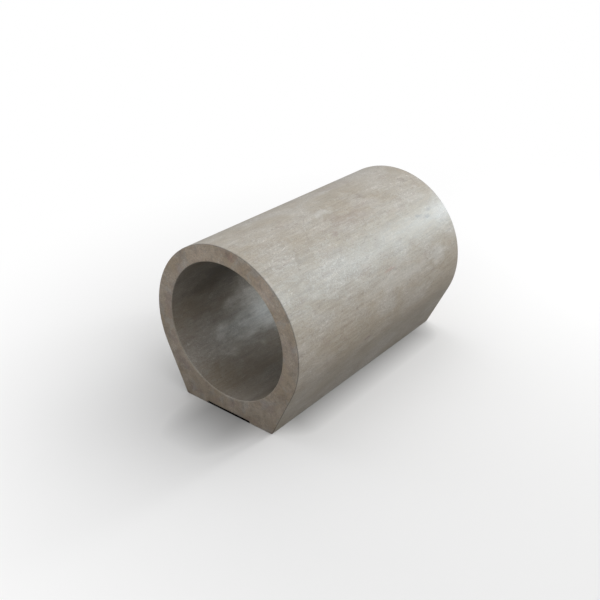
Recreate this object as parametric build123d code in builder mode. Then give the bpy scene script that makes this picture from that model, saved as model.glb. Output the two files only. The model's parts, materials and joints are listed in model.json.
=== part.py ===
"""Culvert pipe with a flat base: one casting of reinforced concrete, in millimetres.

The pipe stands on its base. X runs across it, Y along the waterway, and Z up.
The origin is the middle of the base. One end is at -Y, and the other, which is the same, at +Y.
"""
import os

from build123d import *

os.makedirs("parts", exist_ok=True)

# The waterway
length = 2000.0             # from end to end
bore_diameter = 1000.0      # the round bore that the water runs through

# Thickness of the concrete round the bore
crown_wall = 120.0          # above it
side_wall = 130.0           # at each side, where the round barrel is widest
invert_wall = 140.0         # below it, down to the level of the base

# The flat base
base_width = 800.0          # from one outer edge to the other
recess_width = 400.0        # mouth of the shallow recess that parts the base into two strips
recess_depth = 15.0         # up from the level of the base
recess_side_angle = 75.0    # slope of the recess's sides, which lets it leave the mould

# Bevels, so that no corner of the concrete is sharp enough to break off
bore_bevel = 5.0            # where the bore meets each end
end_bevel = 5.0             # round the outline of each end
foot_bevel = 8.0            # along the two outer edges of the base

# Sizes that follow from the ones above
bore_radius = bore_diameter / 2
bore_height = invert_wall + bore_radius
overall_height = bore_height + bore_radius + crown_wall
barrel_radius = bore_radius + side_wall
barrel_height = overall_height - barrel_radius
overall_width = max(2 * barrel_radius, base_width)
end_plane = Plane.XZ.offset(length / 2)

with BuildPart() as culvert_pipe:
    # Outside of the end section: the circle of the barrel, with a straight flank on each side that
    # leaves the circle at a tangent and leans in to the edge of the base.
    with BuildSketch(end_plane) as section:
        with BuildLine():
            CenterArc((0, barrel_height), barrel_radius, 0, 360)
            Line((-base_width / 2, 0), (base_width / 2, 0))
        make_hull()
        # The base stays flat even where the barrel is large enough to reach below it.
        Rectangle(
            overall_width,
            overall_height,
            align=(Align.CENTER, Align.MIN),
            mode=Mode.INTERSECT,
        )
        # The bore, and the recess along the middle of the base.
        with Locations((0, bore_height)):
            Circle(bore_radius, mode=Mode.SUBTRACT)
        Trapezoid(
            recess_width,
            recess_depth,
            recess_side_angle,
            align=(Align.CENTER, Align.MIN),
            mode=Mode.SUBTRACT,
        )
    extrude(amount=-length)

    # The two outer edges of the base, which run along the pipe.
    base_edges = culvert_pipe.edges().filter_by(Axis.Y).group_by(Axis.Z)[0].sort_by(Axis.X)
    chamfer([base_edges[0], base_edges[-1]], foot_bevel)

    # Outline of each end, all the way round, through the flanks, the base and the recess.
    ends = culvert_pipe.faces().filter_by(Axis.Y)
    chamfer([edge for end in ends for edge in end.outer_wire().edges()], end_bevel)

    # Both mouths of the bore.
    ends = culvert_pipe.faces().filter_by(Axis.Y)
    mouths = [wire for end in ends for wire in end.inner_wires()]
    chamfer([edge for mouth in mouths for edge in mouth.edges()], bore_bevel)

culvert_pipe.part.label = "culvert_pipe"
export_step(culvert_pipe.part, "parts/culvert_pipe.step")
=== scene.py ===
"""Concrete culvert pipe with a flat base, standing on a pale studio floor."""
import json
from math import acos, atan2, cos, hypot, pi, radians, sin

import bmesh
import bpy
from mathutils import Matrix, Vector, noise


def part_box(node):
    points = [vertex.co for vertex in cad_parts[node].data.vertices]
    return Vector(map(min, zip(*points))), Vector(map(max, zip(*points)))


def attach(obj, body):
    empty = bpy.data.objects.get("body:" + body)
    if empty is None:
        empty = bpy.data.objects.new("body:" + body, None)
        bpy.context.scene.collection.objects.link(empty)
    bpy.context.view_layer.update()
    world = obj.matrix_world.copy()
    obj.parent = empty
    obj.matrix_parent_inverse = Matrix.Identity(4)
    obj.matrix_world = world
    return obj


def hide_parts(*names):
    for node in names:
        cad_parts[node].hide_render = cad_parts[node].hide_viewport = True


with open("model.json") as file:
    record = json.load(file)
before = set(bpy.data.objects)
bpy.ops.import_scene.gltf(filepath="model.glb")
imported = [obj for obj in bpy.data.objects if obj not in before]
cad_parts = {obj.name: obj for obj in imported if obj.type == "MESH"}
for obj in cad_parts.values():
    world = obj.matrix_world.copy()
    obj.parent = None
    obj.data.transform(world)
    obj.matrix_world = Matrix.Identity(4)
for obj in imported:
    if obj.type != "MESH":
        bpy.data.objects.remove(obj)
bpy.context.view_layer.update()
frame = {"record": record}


# The pipe: one casting of reinforced concrete. It is cast on end between an outer steel shell and
# a round steel core, and its two ends are struck off level and trowelled. The arrises are rounded
# where the shell and the core meet the ends.
lowest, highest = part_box("culvert_pipe")
waterway = next(mount for mount in frame["record"]["mounts"] if mount["name"] == "waterway")
front, back = lowest.y, highest.y
bore_radius, bore_height = waterway["dims"]["r_mm"] / 1000, waterway["pos_m"][2]
barrel_radius = 0.630
barrel_height = highest.z - barrel_radius
base_half = 0.400           # from the middle of the base to the foot of a flank
recess_half = 0.200         # and to the mouth of the recess between the two bearing strips
recess_depth = 0.015
recess_lean = 0.004         # how far the sides of the recess draw in, to leave the mould
foot_round = 0.008
arris_round = 0.004

casting = bmesh.new()

# Half of the outline of the front end, from the crown round the barrel to where it leaves at a
# tangent, down the flank to the foot, along the bearing strip and up into the recess. A stride is
# the length of one edge along each. The foot is rounded, and the other half is its mirror image.
tangent = acos(barrel_radius / hypot(base_half, barrel_height)) - atan2(barrel_height, base_half)
crown = casting.verts.new((0, front, highest.z))
barrel = bmesh.ops.spin(
    casting, geom=[crown], cent=(0, front, barrel_height), axis=(0, 1, 0),
    angle=pi / 2 - tangent, steps=120, use_merge=False, use_duplicate=False,
)
turn = barrel["geom_last"][0]
turns = []
for x, z, stride in (
    (base_half, 0, 0.011),
    (recess_half, 0, 0.0095),
    (recess_half - recess_lean, recess_depth, 0.015),
    (0, recess_depth, 0.008),
):
    start, corner = turn.co.copy(), Vector((x, front, z))
    strides = round((corner - start).length / stride)
    for step in range(1, strides + 1):
        turn = bmesh.ops.extrude_vert_indiv(casting, verts=[turn])["verts"][0]
        turn.co = start.lerp(corner, step / strides)
    turns.append(turn)
bmesh.ops.bevel(
    casting, geom=[turns[0]], affect="VERTICES", offset=foot_round, segments=3, profile=0.5,
    material=-1,
)
bmesh.ops.mirror(casting, geom=casting.verts[:] + casting.edges[:], axis="X", merge_dist=1e-5)

# The mouth of the bore, the wall between it and the outline, and the whole length drawn from that.
bmesh.ops.create_circle(
    casting, segments=len(casting.edges), radius=bore_radius, cap_ends=False,
    matrix=Matrix.Translation((0, front, bore_height)) @ Matrix.Rotation(pi / 2, 4, "X"),
)
bmesh.ops.bridge_loops(casting, edges=casting.edges[:])
drawn = bmesh.ops.extrude_face_region(casting, geom=casting.faces[:], use_keep_orig=True)
far_end = [item for item in drawn["geom"] if isinstance(item, bmesh.types.BMVert)]
bmesh.ops.translate(casting, vec=(0, back - front, 0), verts=far_end)
bmesh.ops.recalc_face_normals(casting, faces=casting.faces[:])

# The arrises of both ends are rounded. They are also a little worn: along them the concrete wanders
# in by up to half a millimetre, in waves of about 40 mm.
ends = {face for face in casting.faces if abs(face.normal.y) > 0.99}
arrises = [edge for edge in casting.edges if len(ends.intersection(edge.link_faces)) == 1]
rounded = bmesh.ops.bevel(
    casting, geom=arrises, affect="EDGES", offset=arris_round, segments=3, profile=0.5,
    material=-1,
)
casting.normal_update()
for vert in rounded["verts"]:
    vert.co -= vert.normal * 0.00025 * (1 + noise.noise(vert.co / 0.040))

# Rings of faces across the ends, and one course behind each arris along the walls, keep the shading
# of flat and round faces apart.
ends = {face for face in casting.faces if abs(face.normal.y) > 0.99}
spokes = [edge for edge in casting.edges if ends.issuperset(edge.link_faces)]
bmesh.ops.subdivide_edges(casting, edges=spokes, cuts=11, use_grid_fill=True)
for y in (front + 0.012, back - 0.012):
    bmesh.ops.bisect_plane(
        casting, geom=casting.verts[:] + casting.edges[:] + casting.faces[:],
        plane_co=(0, y, 0), plane_no=(0, 1, 0),
    )

shape = bpy.data.meshes.new("culvert_pipe_casting")
casting.to_mesh(shape)
casting.free()
shape.shade_smooth()
shape.set_sharp_from_angle(angle=radians(40))
pipe = bpy.data.objects.new("culvert_pipe_casting", shape)
bpy.context.scene.collection.objects.link(pipe)
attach(pipe, "root")
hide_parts("culvert_pipe")


# Fair-faced concrete, as it leaves a steel mould: a close grey skin of cement with a faint sheen,
# clouded by water and mould oil as the steel was drawn off. It shows as soft light and dark
# patches, brown and mauve stains, fine streaks along the pipe and a few pinholes left by air.
def linear(colour):
    """An sRGB hex colour as linear red, green, blue and alpha."""
    parts = [int(colour[place:place + 2], 16) / 255 for place in (1, 3, 5)]
    return *(c / 12.92 if c <= 0.04045 else ((c + 0.055) / 1.055) ** 2.4 for c in parts), 1


def add(tree, kind, feeds=None, **settings):
    """One node with its settings. feeds gives an input a value, or what is linked to it."""
    node = tree.nodes.new(kind)
    for name, value in settings.items():
        setattr(node, name, value)
    for name, value in (feeds or {}).items():
        socket = next(one for one in node.inputs if one.identifier == name)
        if isinstance(value, bpy.types.Node):
            value = next(one for one in value.outputs if one.enabled)
        if isinstance(value, bpy.types.NodeSocket):
            tree.links.new(value, socket)
        else:
            socket.default_value = value
    return node


concrete = bpy.data.materials.new("cast_concrete")
concrete.use_nodes = True
cast = concrete.node_tree
cast.nodes.clear()
where = add(cast, "ShaderNodeTexCoord").outputs["Object"]
spot = add(cast, "ShaderNodeSeparateXYZ", {"Vector": where})

# The patterns are drawn out along the pipe, the patches to twice their width and the streaks to
# fourteen times.
drawn_out = add(cast, "ShaderNodeMapping", {"Vector": where, "Scale": (1, 0.5, 1)})
streaked = add(cast, "ShaderNodeMapping", {"Vector": where, "Scale": (1, 0.07, 1)})

# The skin is two greys in clouds 240 mm across. Over them lie marks of six kinds, each with its
# width, detail and wisps, the values of its pattern between which it comes in, and its share.
clouds = add(cast, "ShaderNodeTexNoise", {
    "Vector": drawn_out, "Scale": 1 / 0.240, "Detail": 5, "Roughness": 0.6, "Distortion": 0.4,
})
skin = add(cast, "ShaderNodeMix", {
    "Factor_Float": add(cast, "ShaderNodeMapRange", {
        "Value": clouds, "From Min": 0.36, "From Max": 0.64,
    }, interpolation_type="SMOOTHSTEP"),
    "A_Color": linear("#a39888"),
    "B_Color": linear("#aba398"),
}, data_type="RGBA")
marks = {}
for mark, width, detail, wisps, low, high, share, colour in (
    ("damp", 0.110, 8, 0.8, 0.50, 0.66, 0.22, "#8b7e6d"),       # darker, browner patches
    ("mauve", 0.070, 7, 0.7, 0.53, 0.66, 0.20, "#907c72"),      # stains from mould oil
    ("bloom", 0.050, 9, 1.0, 0.52, 0.64, 0.23, "#bbb9b1"),      # dry lime
    ("smears", 0.030, 8, 1.6, 0.58, 0.66, 0.36, "#7a6d64"),     # small, dark and ragged
    ("flecks", 0.016, 6, 1.8, 0.60, 0.66, 0.40, "#cbc8c0"),     # specks of lime
    ("specks", 0.010, 4, 1.0, 0.62, 0.68, 0.50, "#685d55"),     # dark sand that shows
):
    patch = add(cast, "ShaderNodeTexNoise", {
        "Vector": add(cast, "ShaderNodeMapping", {
            "Vector": drawn_out, "Location": (width * 70, width * 130, width * 210),
        }),
        "Scale": 1 / width, "Detail": detail, "Roughness": 0.64, "Distortion": wisps,
    })
    marks[mark] = add(cast, "ShaderNodeMapRange", {
        "Value": patch, "From Min": low, "From Max": high, "To Max": share,
    }, interpolation_type="SMOOTHSTEP")
    skin = add(cast, "ShaderNodeMix", {
        "Factor_Float": marks[mark], "A_Color": skin, "B_Color": linear(colour),
    }, data_type="RGBA", label=mark)

# Hairlines of dry lime, where a thin film of water dried: the line along which one pattern crosses
# its middle value, in patches.
thread = add(cast, "ShaderNodeTexNoise", {
    "Vector": drawn_out, "Scale": 1 / 0.065, "Detail": 4, "Roughness": 0.55, "Distortion": 1.8,
})
line = add(cast, "ShaderNodeMapRange", {
    "Value": add(cast, "ShaderNodeMath", {
        "Value": add(cast, "ShaderNodeMath", {
            "Value": thread, "Value_001": 0.5,
        }, operation="SUBTRACT"),
    }, operation="ABSOLUTE"),
    "From Min": 0.014, "From Max": 0.0,
})
skin = add(cast, "ShaderNodeMix", {
    "Factor_Float": add(cast, "ShaderNodeMath", {
        "Value": line,
        "Value_001": add(cast, "ShaderNodeMapRange", {
            "Value": clouds, "From Min": 0.45, "From Max": 0.60, "To Max": 0.75,
        }),
    }, operation="MULTIPLY"),
    "A_Color": skin, "B_Color": linear("#d2cfc9"),
}, data_type="RGBA")

# Single marks that the surface shows: the radius and height of the barrel, the bore or the wall at
# the front end, the place in degrees from the crown and metres along, then how wide and long. Each
# is full in its middle and ragged towards its edge. Some of them are painted light and painted
# shade, as noted by their rows. The marks on the bore stay on it, and all of the bore is painted a
# little darker than the outside, as painted shade.
off_bore = add(cast, "ShaderNodeVectorMath", {
    "Vector": add(cast, "ShaderNodeCombineXYZ", {
        "X": spot.outputs["X"],
        "Z": add(cast, "ShaderNodeMath", {
            "Value": spot.outputs["Z"], "Value_001": bore_height,
        }, operation="SUBTRACT"),
    }),
}, operation="LENGTH")
in_bore = add(cast, "ShaderNodeMapRange", {
    "Value": off_bore, "From Min": bore_radius + 0.003, "From Max": bore_radius + 0.001,
})
for mark, radius, height, turn, along, wide, long, share, colour in (
    ("smear_1", barrel_radius, barrel_height, 46, 0.640, 0.018, 0.045, 0.55, "#6c625b"),
    ("smear_2", barrel_radius, barrel_height, 49, 0.730, 0.016, 0.060, 0.55, "#6c625b"),
    ("smear_3", barrel_radius, barrel_height, 45, 0.800, 0.014, 0.030, 0.50, "#6c625b"),
    ("mauve_1", barrel_radius, barrel_height, 30, -0.213, 0.026, 0.040, 0.40, "#8b756e"),
    ("mauve_2", barrel_radius, barrel_height, 24, 0.020, 0.090, 0.300, 0.20, "#94807b"),
    ("mauve_3", barrel_radius, barrel_height, -12, 0.350, 0.060, 0.250, 0.25, "#907c73"),
    ("brown_1", barrel_radius, barrel_height, 12, 0.320, 0.040, 0.060, 0.40, "#83756a"),
    ("brown_2", barrel_radius, barrel_height, 16, 0.840, 0.030, 0.040, 0.40, "#83756a"),
    ("rust_1", barrel_radius, barrel_height, 67, 0.090, 0.012, 0.080, 0.45, "#96705f"),
    ("rust_2", barrel_radius, barrel_height, 105, -0.200, 0.014, 0.060, 0.50, "#7d6463"),
    ("pale_1", barrel_radius, barrel_height, 11, -0.133, 0.040, 0.120, 0.40, "#c6c4bf"),
    ("pale_2", barrel_radius, barrel_height, -10, 0.200, 0.030, 0.120, 0.35, "#c6c4bf"),
    ("pale_3", barrel_radius, barrel_height, 76, 0.700, 0.080, 0.150, 0.40, "#c4c1bb"),
    ("pale_4", barrel_radius, barrel_height, 76, 0.150, 0.070, 0.450, 0.40, "#c1bdb6"),
    # Painted light: a pale pool of light on the lower left wall of the bore.
    ("painted_light_bore", bore_radius, bore_height, 238, 0.100, 0.300, 0.600, 0.90, "#f0efe8"),
    # Painted shade: two dark patches on the walls of the bore.
    ("painted_shade_bore_1", bore_radius, bore_height, 145, -0.450, 0.180, 0.600, 0.50, "#5d554d"),
    ("painted_shade_bore_2", bore_radius, bore_height, 288, -0.400, 0.170, 0.500, 0.50, "#6b6259"),
    # Painted light: the first two marks on the front end are pale patches towards the crown; the
    # third is a stain.
    ("painted_light_end_1", bore_radius + 0.065, bore_height, -22, front, 0.100, 0.030, 0.22, "#c6bcb4"),
    ("painted_light_end_2", bore_radius + 0.065, bore_height, 42, front, 0.100, 0.030, 0.35, "#c6bcb4"),
    ("end_3", bore_radius + 0.080, bore_height, 8, front, 0.035, 0.030, 0.45, "#8f716e"),
):
    centre = Vector((radius * sin(radians(turn)), along, height + radius * cos(radians(turn))))
    scale = Vector((1 / wide, 1 / long, 1 / wide))
    offset = Vector(-a * b for a, b in zip(centre, scale))
    if radius == bore_radius:
        share = add(cast, "ShaderNodeMath", {
            "Value": in_bore, "Value_001": share,
        }, operation="MULTIPLY")
    ragged = add(cast, "ShaderNodeTexNoise", {
        "Vector": drawn_out, "Scale": 1.5 / wide, "Detail": 5, "Roughness": 0.60, "Distortion": 0.3,
    })
    off_mark = add(cast, "ShaderNodeVectorMath", {
        "Vector": add(cast, "ShaderNodeVectorMath", {
            "Vector": where, "Vector_001": scale, "Vector_002": offset,
        }, operation="MULTIPLY_ADD"),
    }, operation="LENGTH")
    skin = add(cast, "ShaderNodeMix", {
        "Factor_Float": add(cast, "ShaderNodeMapRange", {
            "Value": add(cast, "ShaderNodeMath", {
                "Value": ragged, "Value_001": -3.0, "Value_002": off_mark,
            }, operation="MULTIPLY_ADD"),
            "From Min": -0.3, "From Max": -1.3, "To Max": share,
        }, interpolation_type="SMOOTHSTEP"),
        "A_Color": skin, "B_Color": linear(colour),
    }, data_type="RGBA", label=mark)
# Painted shade: all of the bore is darker.
skin = add(cast, "ShaderNodeMix", {
    "Factor_Float": in_bore, "A_Color": skin, "B_Color": (0.895, 0.88, 0.88, 1),
}, data_type="RGBA", blend_type="MULTIPLY")

# The ends were struck off with a board and trowelled. They are warmer than the barrel, and paler as
# painted light, more so towards the crown. They have blotches of their own.
reach = add(cast, "ShaderNodeMath", {"Value": spot.outputs["Y"]}, operation="ABSOLUTE")
end = add(cast, "ShaderNodeMapRange", {
    "Value": reach, "From Min": back - 0.30 * arris_round, "From Max": back - 0.08 * arris_round,
})
# The ends are painted warmer and paler; the paleness is painted light.
skin = add(cast, "ShaderNodeMix", {
    "Factor_Float": end, "A_Color": skin, "B_Color": (1.24, 1.16, 1.09, 1),
}, data_type="RGBA", blend_type="MULTIPLY")
for blotch, width, low, high, share, colour in (
    ("mauve", 0.130, 0.50, 0.62, 0.45, "#9f8b85"),
    ("lime", 0.100, 0.52, 0.63, 0.40, "#bab7b2"),
    ("brown", 0.060, 0.54, 0.64, 0.35, "#8f7f71"),
):
    patch = add(cast, "ShaderNodeTexNoise", {
        "Vector": add(cast, "ShaderNodeMapping", {
            "Vector": where, "Location": (width * 310, 0, width * 170),
        }),
        "Scale": 1 / width, "Detail": 7, "Roughness": 0.55, "Distortion": 0.7,
    })
    amount = add(cast, "ShaderNodeMapRange", {
        "Value": patch, "From Min": low, "From Max": high, "To Max": share,
    }, interpolation_type="SMOOTHSTEP")
    skin = add(cast, "ShaderNodeMix", {
        "Factor_Float": add(cast, "ShaderNodeMath", {
            "Value": amount, "Value_001": end,
        }, operation="MULTIPLY"),
        "A_Color": skin, "B_Color": linear(colour),
    }, data_type="RGBA", label=blotch)
# Painted light: the ends grow paler towards the crown.
painted_top_light = add(cast, "ShaderNodeMapRange", {
    "Value": spot.outputs["Z"], "From Min": 0.30, "From Max": highest.z,
    "To Min": 1.0, "To Max": 1.36,
})
skin = add(cast, "ShaderNodeVectorMath", {
    "Vector": skin,
    "Scale": add(cast, "ShaderNodeMix", {
        "Factor_Float": end, "A_Float": 1.0, "B_Float": painted_top_light,
    }),
}, operation="SCALE")

# A dark line of painted shade lies in the line of the outer arris, which is all that lies past 60
# mm from the bore, but not on the flat of the end. The arris of the bore is painted pale, as a
# painted highlight.
arris = add(cast, "ShaderNodeMapRange", {
    "Value": reach, "From Min": back - 2.2 * arris_round, "From Max": back - 1.4 * arris_round,
})
for inner, outer, share, colour in (
    (bore_radius + 0.060, bore_radius + 0.062, 0.50, "#574c45"),
    (bore_radius + 1.3 * arris_round, bore_radius + 1.0 * arris_round, 0.36, "#cbbfb0"),
):
    ring = add(cast, "ShaderNodeMapRange", {
        "Value": off_bore, "From Min": inner, "From Max": outer, "To Max": share,
    })
    rim = add(cast, "ShaderNodeMath", {"Value": arris, "Value_001": ring}, operation="MULTIPLY")
    if inner < outer:
        rim = add(cast, "ShaderNodeMath", {
            "Value": rim,
            "Value_001": add(cast, "ShaderNodeMapRange", {
                "Value": reach,
                "From Min": back - 0.05 * arris_round, "From Max": back - 0.20 * arris_round,
            }),
        }, operation="MULTIPLY")
    skin = add(cast, "ShaderNodeMix", {
        "Factor_Float": rim, "A_Color": skin, "B_Color": linear(colour),
    }, data_type="RGBA")

# The lowest part is a little darker, painted shade near the floor. It fades out 0.4 m up.
tone = add(cast, "ShaderNodeMapRange", {
    "Value": add(cast, "ShaderNodeMath", {
        "Value": spot.outputs["Z"],
        "Value_001": add(cast, "ShaderNodeMath", {
            "Value": clouds, "Value_001": 0.25,
        }, operation="MULTIPLY"),
    }, operation="ADD"),
    "From Min": 0.08, "From Max": 0.50, "To Min": 0.90, "To Max": 1.0,
}, interpolation_type="SMOOTHSTEP")

# Streaks and grain lighten and darken all of it by about a tenth. The grain of the sand is 1 to
# 3 mm across, too fine for the picture. It is drawn at 9 mm, the least that shows.
streaks = add(cast, "ShaderNodeTexNoise", {
    "Vector": streaked, "Scale": 1 / 0.014, "Detail": 4, "Roughness": 0.6, "Distortion": 0.3,
})
grain = add(cast, "ShaderNodeTexNoise", {
    "Vector": where, "Scale": 1 / 0.009, "Detail": 3, "Roughness": 0.7,
})
for pattern, least, most in ((streaks, 0.89, 1.11), (grain, 0.87, 1.13)):
    tone = add(cast, "ShaderNodeMath", {
        "Value": tone,
        "Value_001": add(cast, "ShaderNodeMapRange", {
            "Value": pattern, "From Min": 0.3, "From Max": 0.7, "To Min": least, "To Max": most,
        }),
    }, operation="MULTIPLY")
skin = add(cast, "ShaderNodeVectorMath", {"Vector": skin, "Scale": tone}, operation="SCALE")

# Pinholes left by air against the steel: one to a cell of 60 mm at most, 2 to 6 mm across.
cells = add(cast, "ShaderNodeTexVoronoi", {"Vector": where, "Scale": 1 / 0.060})
size = add(cast, "ShaderNodeMapRange", {
    "Value": add(cast, "ShaderNodeSeparateColor", {"Color": cells.outputs["Color"]}),
    "From Min": 0.45, "From Max": 1.0, "To Max": 0.055,
})
hole = add(cast, "ShaderNodeMapRange", {
    "Value": cells.outputs["Distance"], "From Min": size, "From Max": 0.0,
}, interpolation_type="SMOOTHSTEP")
# Painted shade: the pinholes are dark inside.
skin = add(cast, "ShaderNodeMix", {
    "Factor_Float": add(cast, "ShaderNodeMath", {
        "Value": hole, "Value_001": 0.8,
    }, operation="MULTIPLY"),
    "A_Color": skin, "B_Color": linear("#3e3833"),
}, data_type="RGBA")

# Relief in millimetres: the pinholes, the sand, the streaks, slow waves in the mould and the dark
# specks. The streaks also carry the gloss, and the sheen is a little cool beside the warm grey.
waves = add(cast, "ShaderNodeTexNoise", {"Vector": drawn_out, "Scale": 1 / 0.180, "Detail": 2})
relief = add(cast, "ShaderNodeMath", {"Value": hole, "Value_001": -1.5}, operation="MULTIPLY")
for pattern, depth in ((grain, 0.25), (streaks, 0.15), (waves, 0.3), (marks["specks"], -0.4)):
    relief = add(cast, "ShaderNodeMath", {
        "Value": pattern, "Value_001": depth, "Value_002": relief,
    }, operation="MULTIPLY_ADD")

surface = add(cast, "ShaderNodeBsdfPrincipled", {
    "Base Color": skin,
    "Roughness": add(cast, "ShaderNodeMapRange", {
        "Value": streaks, "From Min": 0.3, "From Max": 0.7, "To Min": 0.41, "To Max": 0.49,
    }),
    "IOR": 1.6,
    "Specular Tint": (0.52, 0.82, 1.0, 1),
    "Normal": add(cast, "ShaderNodeBump", {"Height": relief, "Distance": 0.001}),
})
add(cast, "ShaderNodeOutputMaterial", {"Surface": surface})
pipe.data.materials.append(concrete)


# The floor: a flat sheet with matt white paint, wide enough to fill the view. To the camera it
# fades into plain white, away from a point beside the far end of the pipe. Other rays see it
# darker, so that it throws little light up.
sheet = bmesh.new()
bmesh.ops.create_grid(sheet, x_segments=1, y_segments=1, size=30)
floor_shape = bpy.data.meshes.new("studio_floor")
sheet.to_mesh(floor_shape)
sheet.free()
floor = bpy.data.objects.new("studio_floor", floor_shape)
bpy.context.scene.collection.objects.link(floor)
paint = bpy.data.materials.new("matt_floor_paint")
paint.use_nodes = True
coat = paint.node_tree
coat.nodes.clear()
seen = add(coat, "ShaderNodeLightPath").outputs["Is Camera Ray"]

# Round the base lies a soft contact shade, painted into the floor. It deepens towards the middle of
# each end and towards each side, and leaves the corners open: each row gives the rectangle that it
# starts from, and how fast it fades across and along. Under the mouths of the recess the floor is
# painted black, as painted shade.
from_middle = add(coat, "ShaderNodeVectorMath", {
    "Vector": add(coat, "ShaderNodeTexCoord").outputs["Object"],
}, operation="ABSOLUTE")
gap = 9.0
for across, along, aside, ahead in (
    (base_half - 0.28, back, 3.6, 1.5),
    (base_half, back - 0.25, 3.4, 3.6),
):
    off = add(coat, "ShaderNodeVectorMath", {
        "Vector": from_middle, "Vector_001": (across, along, 0),
    }, operation="SUBTRACT")
    off = add(coat, "ShaderNodeVectorMath", {
        "Vector": off, "Vector_001": (0, 0, 0),
    }, operation="MAXIMUM")
    off = add(coat, "ShaderNodeVectorMath", {
        "Vector": off, "Vector_001": (aside, ahead, 0),
    }, operation="MULTIPLY")
    gap = add(coat, "ShaderNodeMath", {
        "Value": gap,
        "Value_001": add(coat, "ShaderNodeVectorMath", {"Vector": off}, operation="LENGTH"),
    }, operation="MINIMUM")
shade = add(coat, "ShaderNodeMapRange", {
    "Value": gap, "From Max": 0.75, "To Min": 0.56, "To Max": 1.0,
})
place = add(coat, "ShaderNodeSeparateXYZ", {"Vector": from_middle})
# Painted shade: the floor under the recess is black.
under = add(coat, "ShaderNodeMath", {
    "Value": add(coat, "ShaderNodeMath", {
        "Value": place.outputs["X"], "Value_001": recess_half,
    }, operation="GREATER_THAN"),
    "Value_001": add(coat, "ShaderNodeMath", {
        "Value": place.outputs["Y"], "Value_001": back - 0.002,
    }, operation="GREATER_THAN"),
}, operation="MAXIMUM")
matt = add(coat, "ShaderNodeBsdfDiffuse", {
    "Color": add(coat, "ShaderNodeMix", {
        "Factor_Float": seen, "A_Color": (0.2, 0.2, 0.2, 1),
        "B_Color": add(coat, "ShaderNodeVectorMath", {
            "Vector": (0.80, 0.80, 0.80),
            "Scale": add(coat, "ShaderNodeMath", {
                "Value": shade, "Value_001": under,
            }, operation="MULTIPLY"),
        }, operation="SCALE"),
    }, data_type="RGBA"),
})
white = add(coat, "ShaderNodeEmission", {"Color": (1, 1, 1, 1), "Strength": 1.0})
away = add(coat, "ShaderNodeMapRange", {
    "Value": add(coat, "ShaderNodeVectorMath", {
        "Vector": add(coat, "ShaderNodeTexCoord").outputs["Object"], "Vector_001": (1.5, 0.8, 0),
    }, operation="DISTANCE"),
    "From Min": 2.3, "From Max": 5.2,
}, interpolation_type="SMOOTHSTEP")
far = add(coat, "ShaderNodeMath", {"Value": away, "Value_001": seen}, operation="MULTIPLY")
add(coat, "ShaderNodeOutputMaterial", {
    "Surface": add(coat, "ShaderNodeMixShader", {"Fac": far, "Shader": matt, "Shader_001": white}),
})
floor.data.materials.append(paint)


# The camera: in front of the pipe and to its right, looking 28 degrees down on it. Its place and
# lens were fitted to the edges of the real pipe as seen from there.
lens = bpy.data.cameras.new("camera")
lens.sensor_width = 36
lens.lens = 49.2
camera = bpy.data.objects.new("camera", lens)
camera.location = (3.3253, -4.3503, 3.3585)
camera.rotation_euler = (radians(90 - 27.76), 0, radians(38.70))
bpy.context.scene.collection.objects.link(camera)
bpy.context.scene.camera = camera


# The light: a round lamp behind the pipe and to its right, low down, which draws the bright band
# along the barrel, and a studio of soft white panels that the pipe sees and the camera doesn't.
def towards(bearing, height):
    """A direction. The bearing is in degrees from +Y round to +X, the height in degrees up."""
    bearing, height = radians(bearing), radians(height)
    return Vector((sin(bearing) * cos(height), cos(bearing) * cos(height), sin(height)))


lamp_way = towards(23, 19)
lamp_distance = 7           # from the middle of the pipe
lamp_radiance = 26.5
lamp = bpy.data.lights.new("key_softbox", "AREA")
lamp.shape = "DISK"
lamp.size = 1.4
lamp.energy = lamp_radiance * pi * pi * lamp.size ** 2 / 4
softbox = bpy.data.objects.new("key_softbox", lamp)
softbox.location = Vector((0, 0, 0.6)) + lamp_distance * lamp_way
softbox.rotation_euler = lamp_way.to_track_quat("Z", "Y").to_euler()
bpy.context.scene.collection.objects.link(softbox)

world = bpy.data.worlds.new("studio")
world.use_nodes = True
room = world.node_tree
room.nodes.clear()

# The panels: the bearing and height of the middle, the cosines of the angles from it at which the
# light starts and is full, and the strength.
facing = add(room, "ShaderNodeTexCoord").outputs["Generated"]
glow = 0.0
for bearing, height, edge, core, strength in (
    (28, 24, 0.78, 0.99, 1.90),
    (0, 90, 0.60, 0.95, 0.58),
    (78, 36, 0.50, 0.95, 1.08),
    (295, 32, 0.40, 0.95, 0.88),
    (185, 12, 0.70, 0.97, 0.76),
):
    panel = add(room, "ShaderNodeMapRange", {
        "Value": add(room, "ShaderNodeVectorMath", {
            "Vector": facing, "Vector_001": towards(bearing, height),
        }, operation="DOT_PRODUCT"),
        "From Min": edge, "From Max": core, "To Max": strength,
    }, interpolation_type="SMOOTHSTEP")
    glow = add(room, "ShaderNodeMath", {"Value": glow, "Value_001": panel}, operation="ADD")
sky = add(room, "ShaderNodeBackground", {
    "Color": (1, 1, 1, 1),
    "Strength": add(room, "ShaderNodeMix", {
        "Factor_Float": add(room, "ShaderNodeLightPath").outputs["Is Camera Ray"],
        "A_Float": glow, "B_Float": 1.0,
    }),
})
add(room, "ShaderNodeOutputWorld", {"Surface": sky})
bpy.context.scene.world = world
bpy.context.scene.view_settings.view_transform = "Standard"
